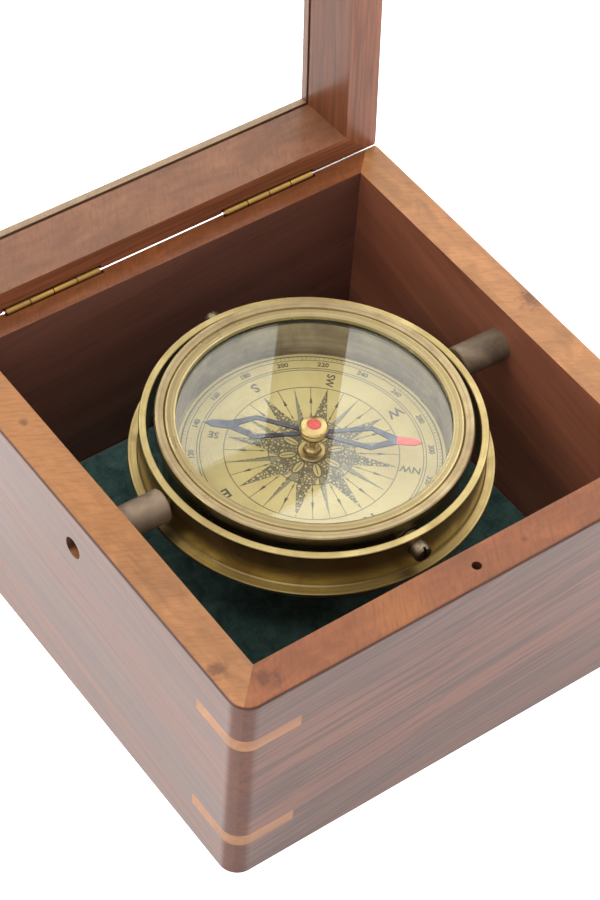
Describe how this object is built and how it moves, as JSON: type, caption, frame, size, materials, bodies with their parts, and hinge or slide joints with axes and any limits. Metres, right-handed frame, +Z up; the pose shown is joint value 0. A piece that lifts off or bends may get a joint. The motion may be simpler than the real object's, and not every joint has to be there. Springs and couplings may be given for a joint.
{
  "type": "gimballed box compass",
  "caption": "Square hardwood case with a hinged glazed lid and a brass gimbal ring that carries a weighted dry-card needle compass bowl.",
  "frame": {"origin": "centre of the case's underside, on the surface it stands on", "axes": "+Z up; the case's front wall, with the catch hole, faces -Y; the hinges are at +Y; the gimbal ring turns about an axis 1.1 degrees off X and the bowl about one at right angles to it"},
  "size_m": [0.16, 0.189, 0.2329],
  "materials": {
    "walnut_box": "oiled rosewood-brown hardwood with straight dark grain, satin",
    "walnut_lid": "the same hardwood as the box, satin",
    "pale_wood": "light tan hardwood splines, satin",
    "bead_wood": "light hardwood glazing bead, satin",
    "base_wood": "plain hardwood panel",
    "felt": "dark green wool felt",
    "window_glass": "clear flat glass",
    "hinge_brass": "polished brass, lightly tarnished",
    "antique_brass": "antiqued brass, satin, lightly scratched",
    "bezel_bronze": "antiqued bronze-brown brass, satin",
    "dark_tube": "darkened matte brass",
    "screw_steel": "darkened steel",
    "rubber_seal": "black rubber",
    "card": "cream printed card",
    "blued_steel": "blued steel",
    "red_paint": "glossy red paint",
    "cap_brass": "polished brass",
    "ballast_metal": "plain grey cast weight"
  },
  "bodies": {
    "case": {"back_wall": "walnut_box", "base_panel": "base_wood", "box_leaf_left": "hinge_brass", "box_leaf_right": "hinge_brass", "felt_lining": "felt", "front_wall": "walnut_box", "hinge_pin_left": "hinge_brass", "hinge_pin_right": "hinge_brass", "left_wall": "walnut_box", "pivot_screw_left": "screw_steel", "pivot_screw_right": "screw_steel", "right_wall": "walnut_box", "spacer_tube_left": "dark_tube", "spacer_tube_right": "dark_tube", "spline_back_left": "pale_wood", "spline_back_right": "pale_wood", "spline_front_left": "pale_wood", "spline_front_right": "pale_wood"},
    "lid": {"catch_pin": "hinge_brass", "glass_bead_back": "bead_wood", "glass_bead_front": "bead_wood", "glass_bead_left": "bead_wood", "glass_bead_right": "bead_wood", "lid_glass": "window_glass", "lid_leaf_left": "hinge_brass", "lid_leaf_right": "hinge_brass", "lid_rail_back": "walnut_lid", "lid_rail_front": "walnut_lid", "lid_rail_left": "walnut_lid", "lid_rail_right": "walnut_lid", "lid_splines": "pale_wood"},
    "ring": {"bowl_screw_back": "screw_steel", "bowl_screw_front": "screw_steel", "bowl_sleeve_back": "screw_steel", "bowl_sleeve_front": "screw_steel", "gimbal_ring": "antique_brass"},
    "bowl": {"bowl_shell": "antique_brass", "bezel_band": "bezel_bronze", "bezel_lip": "antique_brass", "bowl_glass": "window_glass", "glass_gasket": "rubber_seal", "dial_plate": "antique_brass", "dial_card": "card", "dial_spacer": "antique_brass", "needle_post": "cap_brass", "post_collar": "cap_brass", "ballast_weight": "ballast_metal", "ballast_screw": "screw_steel"},
    "needle": {"needle_blade": "blued_steel", "needle_north_tip": "red_paint", "needle_cap": "cap_brass", "cap_jewel": "red_paint"}
  },
  "joints": [
    {"name": "lid_hinge", "type": "hinge", "parent": "case", "child": "lid", "pos_m": [0, 0.0756, 0.07765], "axis": [1, 0, 0], "range_deg": [0, 93.2]},
    {"name": "ring_pivot", "type": "hinge", "parent": "case", "child": "ring", "pos_m": [0.0008, -0.00125, 0.0639], "axis": [0.9998, -0.0192, 0], "range_deg": [-20, 20]},
    {"name": "bowl_pivot", "type": "hinge", "parent": "ring", "child": "bowl", "pos_m": [0.0008, -0.00125, 0.0639], "axis": [0.0192, 0.9998, 0], "range_deg": [-20, 20]},
    {"name": "needle_turn", "type": "hinge", "parent": "bowl", "child": "needle", "pos_m": [0.0008, -0.00125, 0.0626], "axis": [0, 0, 1], "continuous": true}
  ]
}
